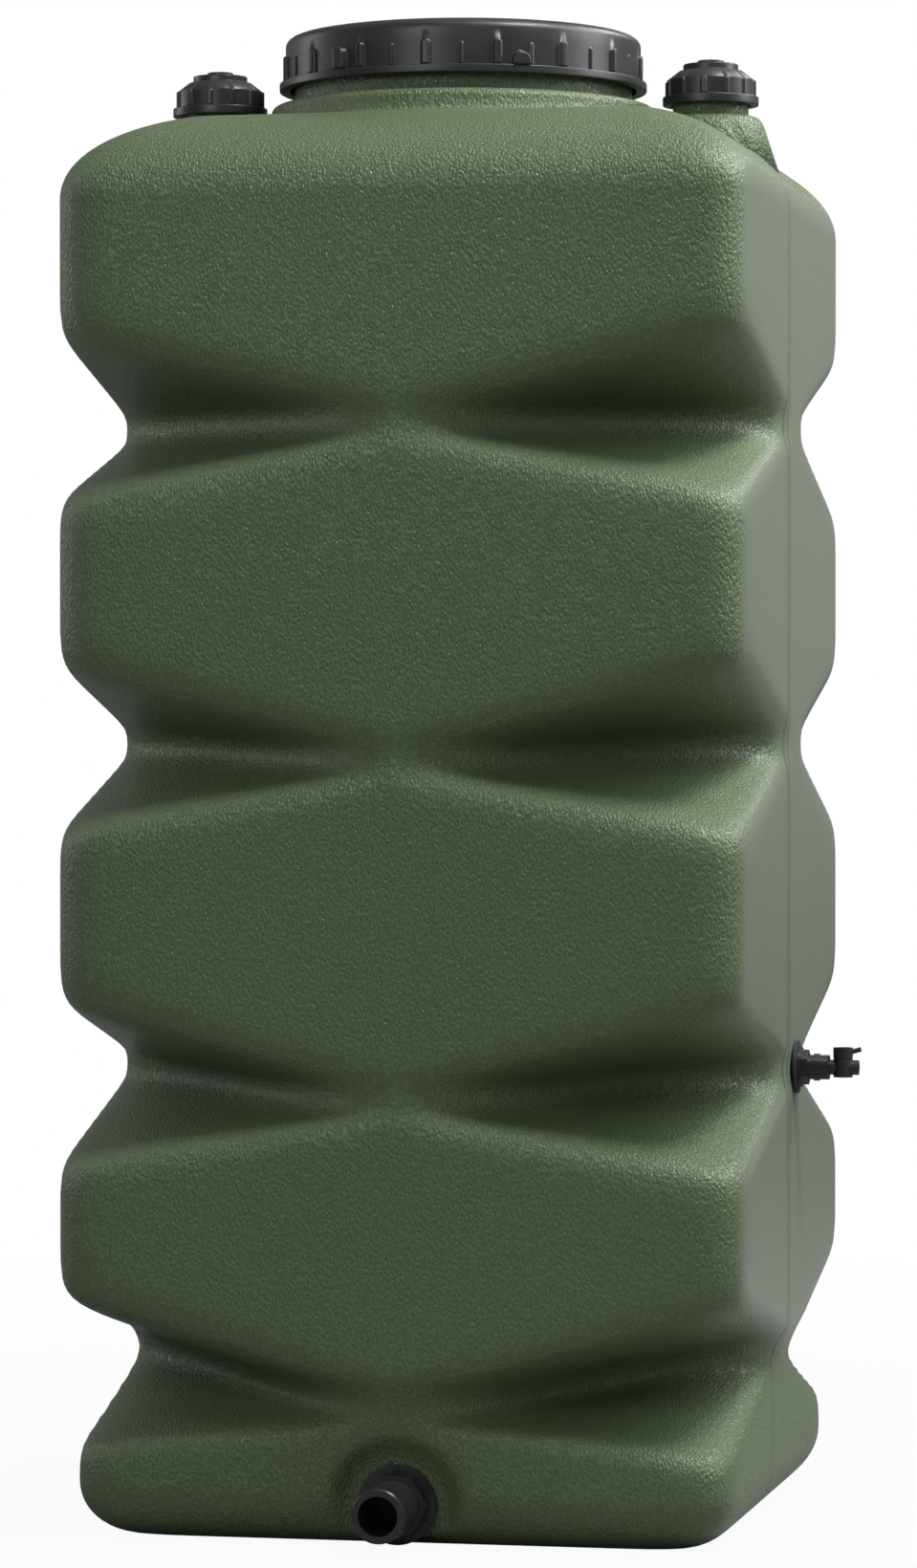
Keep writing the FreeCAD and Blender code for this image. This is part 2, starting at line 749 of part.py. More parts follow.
def make_drain_flange_nut():
    bore = size.drain_tube_radius + size.fit_clearance
    flange = turned("drain_nut_flange", [
        (bore, 0),
        (size.drain_nut_radius, 0),
        (size.drain_nut_radius, size.drain_nut_flange),
        (bore, size.drain_nut_flange),
    ])
    pip = upright(flange, "drain_pip", 30,
                  (size.drain_hex_radius, size.drain_nut_radius - size.drain_pip_width / 2),
                  size.drain_pip_width, size.drain_nut_flange / 2,
                  size.drain_nut_flange + size.drain_pip_height)
    repeated(flange, pip, size.drain_pip_count)
    put(flange, drain_spot(size.drain_seal), TO_FRONT)
    nut = hexagon("drain_nut_hex", size.drain_hex_radius, size.drain_hex_height,
                  drain_spot(NUT_FACE), TO_FRONT)
    hole = cylinder("drain_nut_bore", bore, size.drain_hex_height, drain_spot(NUT_FACE), TO_FRONT)
    return joined("drain_flange_nut", [flange, without("drain_nut_ring", nut, hole)])


def make_drain_spigot():
    socket = size.drain_tube_radius + size.fit_clearance
    spigot = turned("drain_spigot", [
        (socket, 0),
        (size.spigot_collar_radius, 0),
        (size.spigot_collar_radius, size.spigot_collar),
        (size.spigot_radius, size.spigot_collar),
        (size.spigot_radius, size.spigot_length - size.spigot_edge),
        (size.spigot_radius - size.spigot_edge, size.spigot_length),
        (size.drain_bore_radius, size.spigot_length),
        (size.drain_bore_radius, size.spigot_socket),
        (socket, size.spigot_socket),
    ])
    return put(spigot, drain_spot(SPIGOT_FOOT), TO_FRONT)


# Tap, built along its own axis and turned to face the right

def tap_spot(out, up=0):
    """A point on the tap axis, counted outwards from the pad's face."""
    return (size.tap_pad_reach + out, -size.tap_setback, TAP_LEVEL + up)


TAP_NUT_FACE = size.tap_seal + size.tap_nut_flange
TAP_FOOT = TAP_NUT_FACE + size.tap_hex_height
BARREL_AXIS = TAP_FOOT + size.barrel_run
PLUG_FOOT = -size.barrel_half_height + size.barrel_floor + size.running_clearance
SEAL_FOOT = PLUG_FOOT + size.plug_height + size.fit_clearance
GLAND_FOOT = size.barrel_half_height - size.gland_height
HUB_FOOT = size.barrel_half_height + size.running_clearance
STEM_TOP = PLUG_FOOT + size.plug_height + size.stem_height
DISH_FLOOR = HUB_FOOT + size.hub_height - size.hub_dish_depth


def make_tap_bulkhead():
    fitting = turned("tap_bulkhead", [
        (size.tap_tube_bore, 0),
        (size.tap_inner_radius, 0),
        (size.tap_inner_radius, size.tap_inner_flange),
        (size.tap_tube_radius, size.tap_inner_flange),
        (size.tap_tube_radius, size.tap_tube_length),
        (size.tap_tube_bore, size.tap_tube_length),
    ])
    inside = -(size.tap_pad_depth + size.tap_seal + size.tap_inner_flange)
    return put(fitting, tap_spot(inside), TO_RIGHT)


def make_tap_inner_seal():
    return ring("tap_inner_seal", size.tap_inner_radius, size.tap_tube_radius, size.tap_seal,
                tap_spot(-(size.tap_pad_depth + size.tap_seal)), TO_RIGHT)


def make_tap_outer_washer():
    return ring("tap_outer_washer", size.tap_seal_radius, size.tap_tube_radius, size.tap_seal,
                tap_spot(as_size(0)), TO_RIGHT)


def make_tap_backnut():
    flange = cylinder("tap_nut_disc", size.tap_nut_radius, size.tap_nut_flange,
                      tap_spot(size.tap_seal), TO_RIGHT)
    nut = hexagon("tap_nut_hex", size.tap_hex_radius, size.tap_hex_height,
                  tap_spot(TAP_NUT_FACE), TO_RIGHT)
    hole = cylinder("tap_nut_bore", size.tap_tube_radius + size.fit_clearance,
                    size.tap_nut_flange + size.tap_hex_height, tap_spot(size.tap_seal), TO_RIGHT)
    return without("tap_backnut", joined("tap_nut_blank", [flange, nut]), hole)


def make_tap_body():
    socket = cylinder("tap_socket", size.tap_socket_radius, size.tap_socket_length,
                      tap_spot(TAP_FOOT), TO_RIGHT)
    collar = cylinder("tap_collar", size.tap_collar_radius, size.tap_collar_width,
                      tap_spot(TAP_FOOT + size.tap_collar_width), TO_RIGHT)
    run = cylinder("tap_run", size.tap_waist_radius, size.barrel_run + size.nozzle_reach,
                   tap_spot(TAP_FOOT), TO_RIGHT)
    barrel = cylinder("tap_barrel", size.barrel_radius, size.barrel_half_height * 2,
                      tap_spot(BARREL_AXIS, -size.barrel_half_height))
    thread = cylinder("tap_thread_bore", size.tap_tube_radius + size.fit_clearance,
                      size.tap_socket_depth, tap_spot(TAP_FOOT), TO_RIGHT)
    bore = cylinder("tap_water_way", size.tap_bore_radius, size.barrel_run + size.nozzle_reach,
                    tap_spot(TAP_FOOT), TO_RIGHT)
    seat = cylinder("tap_plug_bore", size.plug_radius + size.running_clearance,
                    size.barrel_half_height * 2 - size.barrel_floor,
                    tap_spot(BARREL_AXIS, size.barrel_floor - size.barrel_half_height))
    solid = joined("tap_body_blank", [socket, collar, run, barrel])
    return without("tap_body", solid, joined("tap_ways", [thread, bore, seat]))


def make_tap_plug():
    plug = cylinder("tap_rotor", size.plug_radius, size.plug_height,
                    tap_spot(BARREL_AXIS, PLUG_FOOT))
    stem = cylinder("tap_stem", size.stem_radius, size.plug_height + size.stem_height,
                    tap_spot(BARREL_AXIS, PLUG_FOOT))
    port = cylinder("tap_port", size.tap_bore_radius, size.plug_radius * 4,
                    tap_spot(BARREL_AXIS - size.plug_radius * 2), TO_RIGHT)
    thread = cylinder("tap_screw_hole", size.screw_radius, size.screw_length,
                      tap_spot(BARREL_AXIS, DISH_FLOOR - size.screw_length))
    return without("tap_plug", joined("tap_plug_blank", [plug, stem]),
                   joined("tap_plug_ways", [port, thread]))


def make_tap_stem_seal():
    return ring("tap_stem_seal", size.plug_radius, size.stem_radius + size.fit_clearance,
                size.stem_seal_height, tap_spot(BARREL_AXIS, SEAL_FOOT))


def make_tap_gland():
    return ring("tap_gland", size.plug_radius + size.running_clearance,
                size.stem_radius + size.running_clearance, size.gland_height,
                tap_spot(BARREL_AXIS, GLAND_FOOT))


def make_tap_lever():
    hub = cylinder("tap_hub", size.hub_radius, size.hub_height, tap_spot(BARREL_AXIS, HUB_FOOT))
    rod = cylinder("tap_rod", size.lever_radius, size.lever_length,
                   tap_spot(BARREL_AXIS + size.lever_root, HUB_FOOT + size.lever_rise),
                   Rotation(Vector(0, 1, 0), 90 - size.lever_pitch.value))
    dish = cylinder("tap_hub_dish", size.hub_dish_radius, size.hub_dish_depth,
                    tap_spot(BARREL_AXIS, DISH_FLOOR))
    socket = cylinder("tap_hub_socket", size.stem_radius, STEM_TOP - HUB_FOOT,
                      tap_spot(BARREL_AXIS, HUB_FOOT))
    hole = cylinder("tap_hub_hole", size.screw_radius, size.hub_height,
                    tap_spot(BARREL_AXIS, HUB_FOOT))
    return without("tap_lever", joined("tap_lever_blank", [hub, rod]),
                   joined("tap_hub_ways", [dish, socket, hole]))


def make_tap_lever_screw():
    head = cylinder("tap_screw_head", size.screw_head_radius, size.screw_head,
                    tap_spot(BARREL_AXIS, DISH_FLOOR))
    shank = cylinder("tap_screw_shank", size.screw_radius, size.screw_length,
                     tap_spot(BARREL_AXIS, DISH_FLOOR - size.screw_length))
    return joined("tap_lever_screw", [head, shank])


# Build every node, check it and write it

nodes = [make_tank_body(), make_manhole_lid(), make_manhole_gasket()]
for side, word in ((-1, "left"), (1, "right")):
    nodes += [make_cap(side, word), make_cap_gasket(side, word), make_vent_plug(side, word)]
nodes += [make_drain_bulkhead(), make_drain_inner_seal(), make_drain_outer_seal()]
nodes += [make_drain_flange_nut(), make_drain_spigot()]
nodes += [make_tap_bulkhead(), make_tap_inner_seal(), make_tap_outer_washer(), make_tap_backnut()]
nodes += [make_tap_body(), make_tap_plug(), make_tap_stem_seal(), make_tap_gland()]
nodes += [make_tap_lever(), make_tap_lever_screw()]
doc.recompute()

for item in doc.Objects:
    if "Invalid" in item.State or "Error" in item.State:
        raise RuntimeError(f"{item.Name} did not build: {item.State}")

os.makedirs("parts", exist_ok=True)
for node in nodes:
    node.Label = node.Name
    shape = node.Shape
    if shape.isNull() or not shape.isValid() or not shape.Solids:
        raise RuntimeError(f"{node.Label} has no sound solid")
    shape.exportStep(f"parts/{node.Label}.step")
    box = shape.BoundBox
    print(f"{node.Label:18} {shape.Volume / 1000:10.2f} cm3  {len(shape.Solids)} solid  "
          f"x {box.XMin:.1f} {box.XMax:.1f}  y {box.YMin:.1f} {box.YMax:.1f}  "
          f"z {box.ZMin:.1f} {box.ZMax:.1f}")
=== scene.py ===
import json
import math

import bmesh
import bpy
import numpy as np
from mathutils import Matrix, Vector


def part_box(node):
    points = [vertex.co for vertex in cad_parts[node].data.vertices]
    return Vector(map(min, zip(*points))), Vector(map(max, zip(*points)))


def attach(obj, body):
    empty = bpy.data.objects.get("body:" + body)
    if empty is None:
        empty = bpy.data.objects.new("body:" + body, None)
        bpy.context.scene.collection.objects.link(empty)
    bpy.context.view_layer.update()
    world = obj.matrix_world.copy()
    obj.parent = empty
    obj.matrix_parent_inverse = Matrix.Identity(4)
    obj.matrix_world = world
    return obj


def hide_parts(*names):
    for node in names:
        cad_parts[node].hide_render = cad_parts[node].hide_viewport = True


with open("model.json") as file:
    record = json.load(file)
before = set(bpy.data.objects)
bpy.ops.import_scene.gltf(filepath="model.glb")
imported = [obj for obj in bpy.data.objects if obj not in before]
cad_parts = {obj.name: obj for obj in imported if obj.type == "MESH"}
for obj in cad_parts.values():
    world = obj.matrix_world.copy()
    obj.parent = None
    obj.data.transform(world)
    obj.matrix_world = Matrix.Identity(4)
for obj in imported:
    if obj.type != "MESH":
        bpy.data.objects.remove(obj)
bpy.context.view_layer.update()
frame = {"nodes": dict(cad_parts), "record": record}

bl_info = {
    "name": "Water Tank",
    "version": (1, 0, 0),
    "blender": (4, 5, 0),
    "location": "3D View > Sidebar > Water Tank",
    "description": "Builds the surfaces, finishes and stage of a tall moulded water tank",
    "category": "Object",
}

# The camera that fits the photograph: pixels, and degrees off level and off the tank's axis

PHOTO_HEIGHT = 1640
FOCAL_PIXELS = 5852.0
CAMERA_DIP = 0.461
CAMERA_YAW = 0.049

# Each waist from the lowest: its level, and how far its sides stand above its front, in metres

WAISTS = ((0.161, 0.037), (0.493, 0.020), (0.866, 0.017), (1.236, 0.009))

# Steps round the foot and over the shoulder, then gaps in metres near a waist and away from it

OUTER_STEPS = (14, 34, 0.008, 0.02)
INNER_STEPS = (10, 8, 0.02, 0.06)

# Columns of the turned and skinned surfaces

SHELL_COLUMNS = 288
BOSS_COLUMNS = 96
LID_COLUMNS = 1152
CAP_COLUMNS = 480

# Stipple scale, stipple strength and roughness of the black plastics

COVER_LOOK = (420.0, 0.5, 0.42)
FITTING_LOOK = (900.0, 0.35, 0.36)


# Places read from the frame, in metres

def extent(node):
    """Lowest and highest corner of a node as arrays."""
    low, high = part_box(node)
    return np.array(low), np.array(high)


def centre(node):
    low, high = extent(node)
    return (low + high) / 2


NECK_TOP = extent("tank_body")[1][2]
LID_BASE = extent("manhole_lid")[0][2]
CAP_BASE = extent("right_cap")[0][2]
CAP_ACROSS = centre("right_cap")[0]
DRAIN_LEVEL = centre("drain_spigot")[2]


# Properties: what a user would change

def length(name, description, default):
    return bpy.props.FloatProperty(
        name=name, description=description, default=default, subtype="DISTANCE", unit="LENGTH"
    )


def share(name, description, default):
    return bpy.props.FloatProperty(
        name=name, description=description, default=default, subtype="FACTOR", min=0.0, max=1.0
    )


def tint(name, description, default):
    return bpy.props.FloatVectorProperty(
        name=name, description=description, default=default, subtype="COLOR", size=3,
        min=0.0, max=1.0
    )


def amount(name, description, default, least=0.0):
    return bpy.props.FloatProperty(name=name, description=description, default=default, min=least)


class ShellSizes(bpy.types.PropertyGroup):
    """Sizes of the moulded shell."""

    half_width: length("Half width", "From the axis to the side", 0.39)
    crown: length("Crown level", "Height of the flat top", 1.598)
    wall: length("Wall", "Thickness of the shell", 0.006)
    rounding: amount("Rounding power", "Higher makes the meetings of the walls sharper", 16.0, 4.0)
    pinch_front: length("Front pinch", "Half the flat left at the front of a waist", 0.05)
    pinch_side: length("Side pinch", "Half the flat left at the side of a waist", 0.1)
    band: length("Band", "Height of the upright band in a waist", 0.032)
    upper_flank: length("Upper flank", "Rise of the flank above a band", 0.076)
    lower_flank: length("Lower flank", "Drop of the flank below a band", 0.07)
    base_flank: length("Base flank", "Drop of the flank below the lowest band", 0.046)
    valley: length("Valley", "Softening where a band meets its flanks", 0.007)
    shoulder_reach: length("Shoulder reach", "Width of the rounded shoulder", 0.23)
    shoulder_rise: length("Shoulder rise", "Height of the rounded shoulder", 0.112)
    shoulder_power: amount("Shoulder power", "Two is an ellipse, more is squarer", 2.1)
    base_inset: length("Base inset", "How far the foot stands back", 0.018)
    base_round: length("Base rounding", "Rounding along the bottom edge", 0.062)
    recess_radius: length("Recess radius", "Half the width of the drain recess", 0.058)
    recess_flare: length("Recess flare", "Soft edge round the drain recess", 0.022)
    recess_depth: length("Recess depth", "How deep the drain recess is", 0.022)
    seam_place: length("Seam place", "Where the moulding seam runs, front to back", -0.06)
    seam_height: length("Seam height", "How proud the moulding seam stands", 0.0012)


class Finish(bpy.types.PropertyGroup):
    """Colours and roughness of the finishes."""

    green: tint("Tank green", "Colour of the shell", (0.068, 0.104, 0.047))
    green_pale: tint("Rubbed green", "Paler green of the high grain", (0.12, 0.165, 0.085))
    # Partly the sides' own greyer green and partly painted light: made paler for the light that
    # falls on the sides.
    side_green_and_painted_light: tint("Side green", "Greyer green of the smooth sides", (0.19, 0.205, 0.175))
    black: tint("Fitting black", "Colour of the lid, caps and fittings", (0.016, 0.016, 0.017))
    grain: share("Grain", "Strength of the leather grain", 0.8)
    sheen: share("Roughness", "Roughness of the shell", 0.31)


class StageSizes(bpy.types.PropertyGroup):
    """Camera and light."""

    distance: length("Camera distance", "From the tank's axis", 6.486)
    azimuth: bpy.props.FloatProperty(
        name="Camera azimuth", description="Turned towards the tap side",
        default=math.radians(11.8), subtype="ANGLE", unit="ROTATION"
    )
    height: length("Camera height", "Above the floor", 0.888)
    key: amount("Upper light", "Power that the lights above and in front share out", 120.0)
    side: amount("Side light", "Power that the lights at the sides share out", 45.0)


# Meshes from numpy grids

def grid_faces(rows, columns, closed=False):
    """Quads of a grid that closes round in its second direction, and in its first if closed."""
    index = np.arange(rows * columns).reshape(rows, columns)
    if closed:
        index = np.vstack([index, index[:1]])
    right = np.roll(index, -1, axis=1)
    return np.stack([index[:-1], right[:-1], right[1:], index[1:]], axis=-1).reshape(-1, 4)


def add_mesh(name, points, faces):
    """An object at the origin from an array of points and a list of faces."""
    mesh = bpy.data.meshes.new(name)
    mesh.from_pydata(points.tolist(), [], faces)
    mesh.validate()
    piece = bpy.data.objects.new(name, mesh)
    bpy.context.scene.collection.objects.link(piece)
    work = bmesh.new()
    work.from_mesh(mesh)
    bmesh.ops.remove_doubles(work, verts=work.verts, dist=1e-6)
    bmesh.ops.recalc_face_normals(work, faces=work.faces)
    work.to_mesh(mesh)
    work.free()
    mesh.polygons.foreach_set("use_smooth", [True] * len(mesh.polygons))
    mesh.update()
    return piece


def tube_mesh(name, rows):
    """A surface through closed rows (rows, columns, 3), its first and last row drawn to a point."""
    count, columns = rows.shape[:2]
    points = rows.reshape(-1, 3)
    first, last = len(points), len(points) + 1
    ends = np.stack([rows[0].mean(axis=0), rows[-1].mean(axis=0)])
    around = np.arange(columns)
    after = np.roll(around, -1)
    base = (count - 1) * columns
    faces = grid_faces(count, columns).tolist()
    faces += np.stack([np.full(columns, first), after, around], axis=1).tolist()
    faces += np.stack([np.full(columns, last), base + around, base + after], axis=1).tolist()
    return add_mesh(name, np.vstack([points, ends]), faces)


def ring_mesh(name, rows):
    """A closed ring: rows of points whose last row joins the first."""
    count, columns = rows.shape[:2]
    return add_mesh(name, rows.reshape(-1, 3), grid_faces(count, columns, True).tolist())


def smoothstep(value):
    """Nought up to 0 and one from 1, with 3v^2 - 2v^3 between."""
    value = np.clip(value, 0, 1)
    return value * value * (3 - 2 * value)


def soft_ramp(value, softness):
    """About nought below 0 and about the value above, with a knee as wide as the softness:
    half of v + sqrt(v^2 + s^2)."""
    return (value + np.hypot(value, softness)) / 2


def rounded_profile(corners, steps=6):
    """An outline of (radius, height, rounding) corners, each corner a quadratic arc that starts
    and ends its rounding away from the corner, and at most just short of halfway to the next."""
    points = []
    last = len(corners) - 1
    nearly_half = 0.49
    for i, (across, along, rounding) in enumerate(corners):
        spot = np.array([across, along])
        if rounding <= 0 or i in (0, last):
            points.append(spot)
            continue
        before = np.array(corners[i - 1][:2]) - spot
        after = np.array(corners[i + 1][:2]) - spot
        reach_before = min(rounding, np.linalg.norm(before) * nearly_half)
        reach_after = min(rounding, np.linalg.norm(after) * nearly_half)
        start = spot + before / np.linalg.norm(before) * reach_before
        end = spot + after / np.linalg.norm(after) * reach_after
        t = np.linspace(0, 1, steps + 1)[:, None]
        points.extend((1 - t) ** 2 * start + 2 * t * (1 - t) * spot + t ** 2 * end)
    return np.array(points)


def turned_rows(profile, angles, across=0.0, lift=0.0):
    """Rows of a turned surface: each (radius, height) carried round an upright axis that stands
    across to the side."""
    radius = profile[:, 0][:, None]
    height = np.broadcast_to(profile[:, 1][:, None] + lift, (len(profile), len(angles)))
    return np.stack([across + radius * np.cos(angles), radius * np.sin(angles), height], axis=-1)


# Shader expressions

class Value:
    """A node socket on which Python's operators add Math nodes."""

    def __init__(self, shader, socket):
        self.shader = shader
        self.socket = socket

    def math(self, operation, *others):
        return self.shader.value("ShaderNodeMath", 0, {"operation": operation},
                                 dict(enumerate((self,) + others)))

    def __add__(self, other):
        return self.math("ADD", other)

    __radd__ = __add__

    def __mul__(self, other):
        return self.math("MULTIPLY", other)

    __rmul__ = __mul__

    def __sub__(self, other):
        return self.math("SUBTRACT", other)

    def __rsub__(self, other):
        return (self * -1.0) + other

    def __abs__(self):
        return self.math("ABSOLUTE")

    def clamped(self):
        return self.math("MAXIMUM", 0.0).math("MINIMUM", 1.0)

    def step(self, low, high):
        """Nought at low and one at high, with a smooth run between."""
        return self.shader.value(
            "ShaderNodeMapRange", 0, {"interpolation_type": "SMOOTHSTEP"},
            {"Value": self, "From Min": low, "From Max": high, "To Min": 0.0, "To Max": 1.0})


class Shader:
    """The nodes of a material or a world under construction."""

    def __init__(self, owner):
        owner.use_nodes = True
        self.owner = owner
        self.tree = owner.node_tree
        self.tree.nodes.clear()

    def node(self, kind, settings=None, inputs=None):
        """Add a node: settings are set first, then each socket gets its value or link."""
        node = self.tree.nodes.new(kind)
        for name, setting in (settings or {}).items():
            setattr(node, name, setting)
        for socket, value in (inputs or {}).items():
            if isinstance(value, Value):
                value = value.socket
            if isinstance(value, bpy.types.NodeSocket):
                self.tree.links.new(value, node.inputs[socket])
            else:
                node.inputs[socket].default_value = value
        return node

    def value(self, kind, output, settings=None, inputs=None):
        return Value(self, self.node(kind, settings, inputs).outputs[output])

    def place(self):
        """Object coordinates, in metres."""
        return self.value("ShaderNodeTexCoord", "Object")

    def parts(self, vector):
        node = self.node("ShaderNodeSeparateXYZ", None, {0: vector})
        return [Value(self, socket) for socket in node.outputs]

    def mapped(self, vector, scale, turn=(0, 0, 0)):
        return self.value("ShaderNodeMapping", "Vector", None,
                          {"Vector": vector, "Scale": scale, "Rotation": turn})

    def noise(self, vector, scale, detail=2.0, rough=0.5, distortion=0.0):
        return self.value("ShaderNodeTexNoise", "Fac", None,
                          {"Vector": vector, "Scale": scale, "Detail": detail,
                           "Roughness": rough, "Distortion": distortion})

    def cells(self, vector, scale):
        return self.value("ShaderNodeTexVoronoi", "Distance", {"feature": "F1"},
                          {"Vector": vector, "Scale": scale})

    def mix(self, factor, first, second):
        """A colour between two colours."""
        colours = {6: first, 7: second}
        for socket, colour in colours.items():
            if not isinstance(colour, Value):
                colours[socket] = (*colour, 1.0)
        return self.value("ShaderNodeMix", 2, {"data_type": "RGBA"}, {0: factor, **colours})

    def bump(self, height, distance, strength):
        return self.value("ShaderNodeBump", "Normal", None,
                          {"Height": height, "Distance": distance, "Strength": strength})

    def camera_mix(self, factor, other, seen):
        """One shader for the camera, as far as the factor goes, and another for other rays."""
        camera = self.value("ShaderNodeLightPath", "Is Camera Ray")
        return self.node("ShaderNodeMixShader", None,
                         {0: camera * factor, 1: other.outputs[0], 2: seen.outputs[0]})

    def close(self, output, shader):
        """Link the last shader to the output node, and hand back the material or world."""
        self.node(output, None, {"Surface": shader.outputs[0]})
        return self.owner

    def surface(self, inputs):
        """The surface shader of a material, its sockets set or linked."""
        return self.close("ShaderNodeOutputMaterial",
                          self.node("ShaderNodeBsdfPrincipled", None, inputs))


def new_material(name):
    return Shader(bpy.data.materials.new(name))


def dress(piece, material):
    piece.data.materials.clear()
    piece.data.materials.append(material)


def tank_material():
    """Grained green plastic.  The front and back carry a leather grain of slanting wrinkles; the
    sides are smoother and greyer, and their green is painted paler for the light that falls on
    them.  Wide noise varies the colour and the gloss a little, and a moulding seam runs up each
    side between two thin grooves that are painted darker, as painted shade."""
    look = bpy.context.scene.tank_finish
    shader = new_material("tank_plastic")
    place = shader.place()
    x, y = shader.parts(place)[:2]

    side = abs(x).step(0.372, 0.388) * (1.0 - abs(y).step(0.34, 0.38))
    rough_area = 1.0 - side * 0.85
    slanted = shader.mapped(place, (1.0, 1.0, 0.55), (0.0, math.radians(28), 0.0))
    wrinkles = shader.noise(slanted, 400.0, 2.0, 0.5, 0.6)
    creases = shader.cells(slanted, 350.0)
    grain = (wrinkles * 0.7 + creases * 0.45).step(0.36, 0.72)
    swell = shader.noise(place, 60.0)
    drift = shader.noise(place, 3.0, 3.0)
    fine = shader.noise(place, 520.0)

    off_seam = abs(y - bpy.context.scene.tank_shell.seam_place)
    flat_side = abs(x).step(0.2, 0.26)
    seam = (1.0 - off_seam.step(0.0025, 0.0045)) * flat_side
    groove_offset = 0.0085
    groove = (1.0 - abs(off_seam - groove_offset).step(0.002, 0.0045)) * flat_side

    rubbed = (grain * rough_area * 0.35 + drift * 0.25).clamped()
    front = shader.mix(rubbed, look.green, look.green_pale)
    # The sides get a paler, greyer green: partly their own colour, partly painted light for the
    # light that falls on them.
    faced = shader.mix(side * 0.6, front, look.side_green_and_painted_light)
    # Painted shade: the seam's two grooves are coloured darker for the shade that falls in them.
    colour = shader.mix(groove * 0.75, faced, look.green)
    height = grain * rough_area + fine * 0.12 + swell * 0.1 + seam * 1.4 - groove * 0.7
    roughness = (grain * 0.1 * rough_area + drift * 0.08 + (look.sheen - 0.06)).clamped()
    return shader.surface({"IOR": 1.48, "Base Color": colour, "Roughness": roughness,
                           "Normal": shader.bump(height, 0.0012, look.grain)})


def black_material(name, stipple_scale, strength, rough):
    """Satin black plastic with a fine stipple and faint dust."""
    look = bpy.context.scene.tank_finish
    shader = new_material(name)
    place = shader.place()
    stipple = shader.noise(place, stipple_scale, 3.0, 0.6)
    dust = shader.noise(place, 12.0, 4.0, 0.6).step(0.45, 0.75)
    dusty = tuple(channel * 2.2 + 0.004 for channel in look.black)
    colour = shader.mix(dust * 0.35, look.black, dusty)
    roughness = (stipple * 0.12 + dust * 0.08 + (rough - 0.1)).clamped()
    return shader.surface({"IOR": 1.5, "Base Color": colour, "Roughness": roughness,
                           "Normal": shader.bump(stipple, 0.0002, strength)})


def rubber_material():
    """Matt black rubber with a faint bloom."""
    shader = new_material("seal_rubber")
    bloom = shader.noise(shader.place(), 90.0, 3.0)
    colour = shader.mix(bloom, (0.012, 0.012, 0.012), (0.03, 0.03, 0.029))
    return shader.surface({"IOR": 1.45, "Base Color": colour, "Roughness": bloom * 0.2 + 0.6,
                           "Normal": shader.bump(bloom, 0.0002, 0.5)})


def steel_material():
    """Steel with fine scratches, drawn out sideways."""
    shader = new_material("screw_steel")
    scratch = shader.noise(shader.mapped(shader.place(), (1.0, 1.0, 8.0)), 900.0)
    colour = shader.mix(scratch, (0.45, 0.45, 0.45), (0.62, 0.62, 0.61))
    return shader.surface({"Metallic": 1.0, "IOR": 2.5, "Base Color": colour,
                           "Roughness": scratch * 0.2 + 0.25})


# The shell's surface

def corner_line(sizes):
    """Direction (m, n) of the line that cuts each corner, and its distance at a waist and where
    it would clear the corner."""
    across = sizes.half_width - sizes.pinch_side
    along = sizes.half_width - sizes.pinch_front
    span = math.hypot(across, along)
    across, along = across / span, along / span
    at_waist = across * sizes.pinch_front + along * sizes.half_width
    return across, along, at_waist, (across + along) * sizes.half_width


def corner_distance(sizes, level):
    """Distance of the corner line at each level: least at a waist, growing evenly above and
    below, with the change of slope softened by the valley size, and held where it is well clear
    of the corner."""
    at_waist, at_corner = corner_line(sizes)[2:]
    well_clear = 1.6
    grown = np.full_like(level, well_clear)
    for order, (waist, rise) in enumerate(WAISTS):
        below = sizes.lower_flank if order else sizes.base_flank
        flank = np.where(level > waist, sizes.upper_flank, below)
        past = np.abs(level - waist) - sizes.band / 2
        grown = np.minimum(grown, soft_ramp(past, sizes.valley) / flank)
    return at_waist + (at_corner - at_waist) * grown


def side_rise(sizes, level):
    """How far the sides stand above the front at each level, in smooth steps between waists."""
    knots = [sizes.base_round] + [waist for waist, rise in WAISTS]
    knots.append(sizes.crown - sizes.shoulder_rise)
    rises = [0.0] + [rise for waist, rise in WAISTS] + [0.0]
    risen = np.zeros_like(level)
    for low, high, first, second in zip(knots, knots[1:], rises, rises[1:]):
        inside = (level >= low) & (level <= high)
        step = smoothstep((level - low) / (high - low))
        risen = np.where(inside, first + (second - first) * step, risen)
    return risen


def section_rows(sizes, level, inset, angles, skin=0.0):
    """Points of level sections: along each direction e the radius where
    (|ex|/a)^p + (|ey|/a)^p + ((m|ex| + n|ey|)/c)^p = 1, raised by side rise times ex squared.
    The skin moves a and c in, and c by more where the corner slopes."""
    level, inset = level[:, None], inset[:, None]
    across, along = corner_line(sizes)[:2]
    step = 0.0005
    slope = (corner_distance(sizes, level + step) - corner_distance(sizes, level - step)) / step / 2
    cut = corner_distance(sizes, level) - skin * np.hypot(1, slope) - inset * (across + along)
    half = sizes.half_width - inset - skin
    ex, ey = np.cos(angles)[None, :], np.sin(angles)[None, :]
    power = sizes.rounding
    total = (np.abs(ex) / half) ** power + (np.abs(ey) / half) ** power
    total = total + ((across * np.abs(ex) + along * np.abs(ey)) / cut) ** power
    radius = total ** (-1 / power)
    height = level + side_rise(sizes, level) * ex ** 2
    return np.stack([radius * ex, radius * ey, height], axis=-1)


def shell_angles(count):
    """Directions round the shell, closer together at the corners and at the drain: the places
    where the sum of an even density and five bells of it has grown by equal amounts."""
    fine = np.linspace(0, math.tau, 7201)
    degrees = np.degrees(fine)
    density = np.ones_like(fine)
    for corner in (45, 135, 225, 315):
        density += 2.0 * np.exp(-((degrees - corner) / 5.0) ** 2)
    drain = 270
    density += 1.6 * np.exp(-((degrees - drain) / 11.0) ** 4)
    total = np.concatenate([[0], np.cumsum((density[1:] + density[:-1]) / 2)])
    return np.interp(np.arange(count) / count * total[-1], total, fine)


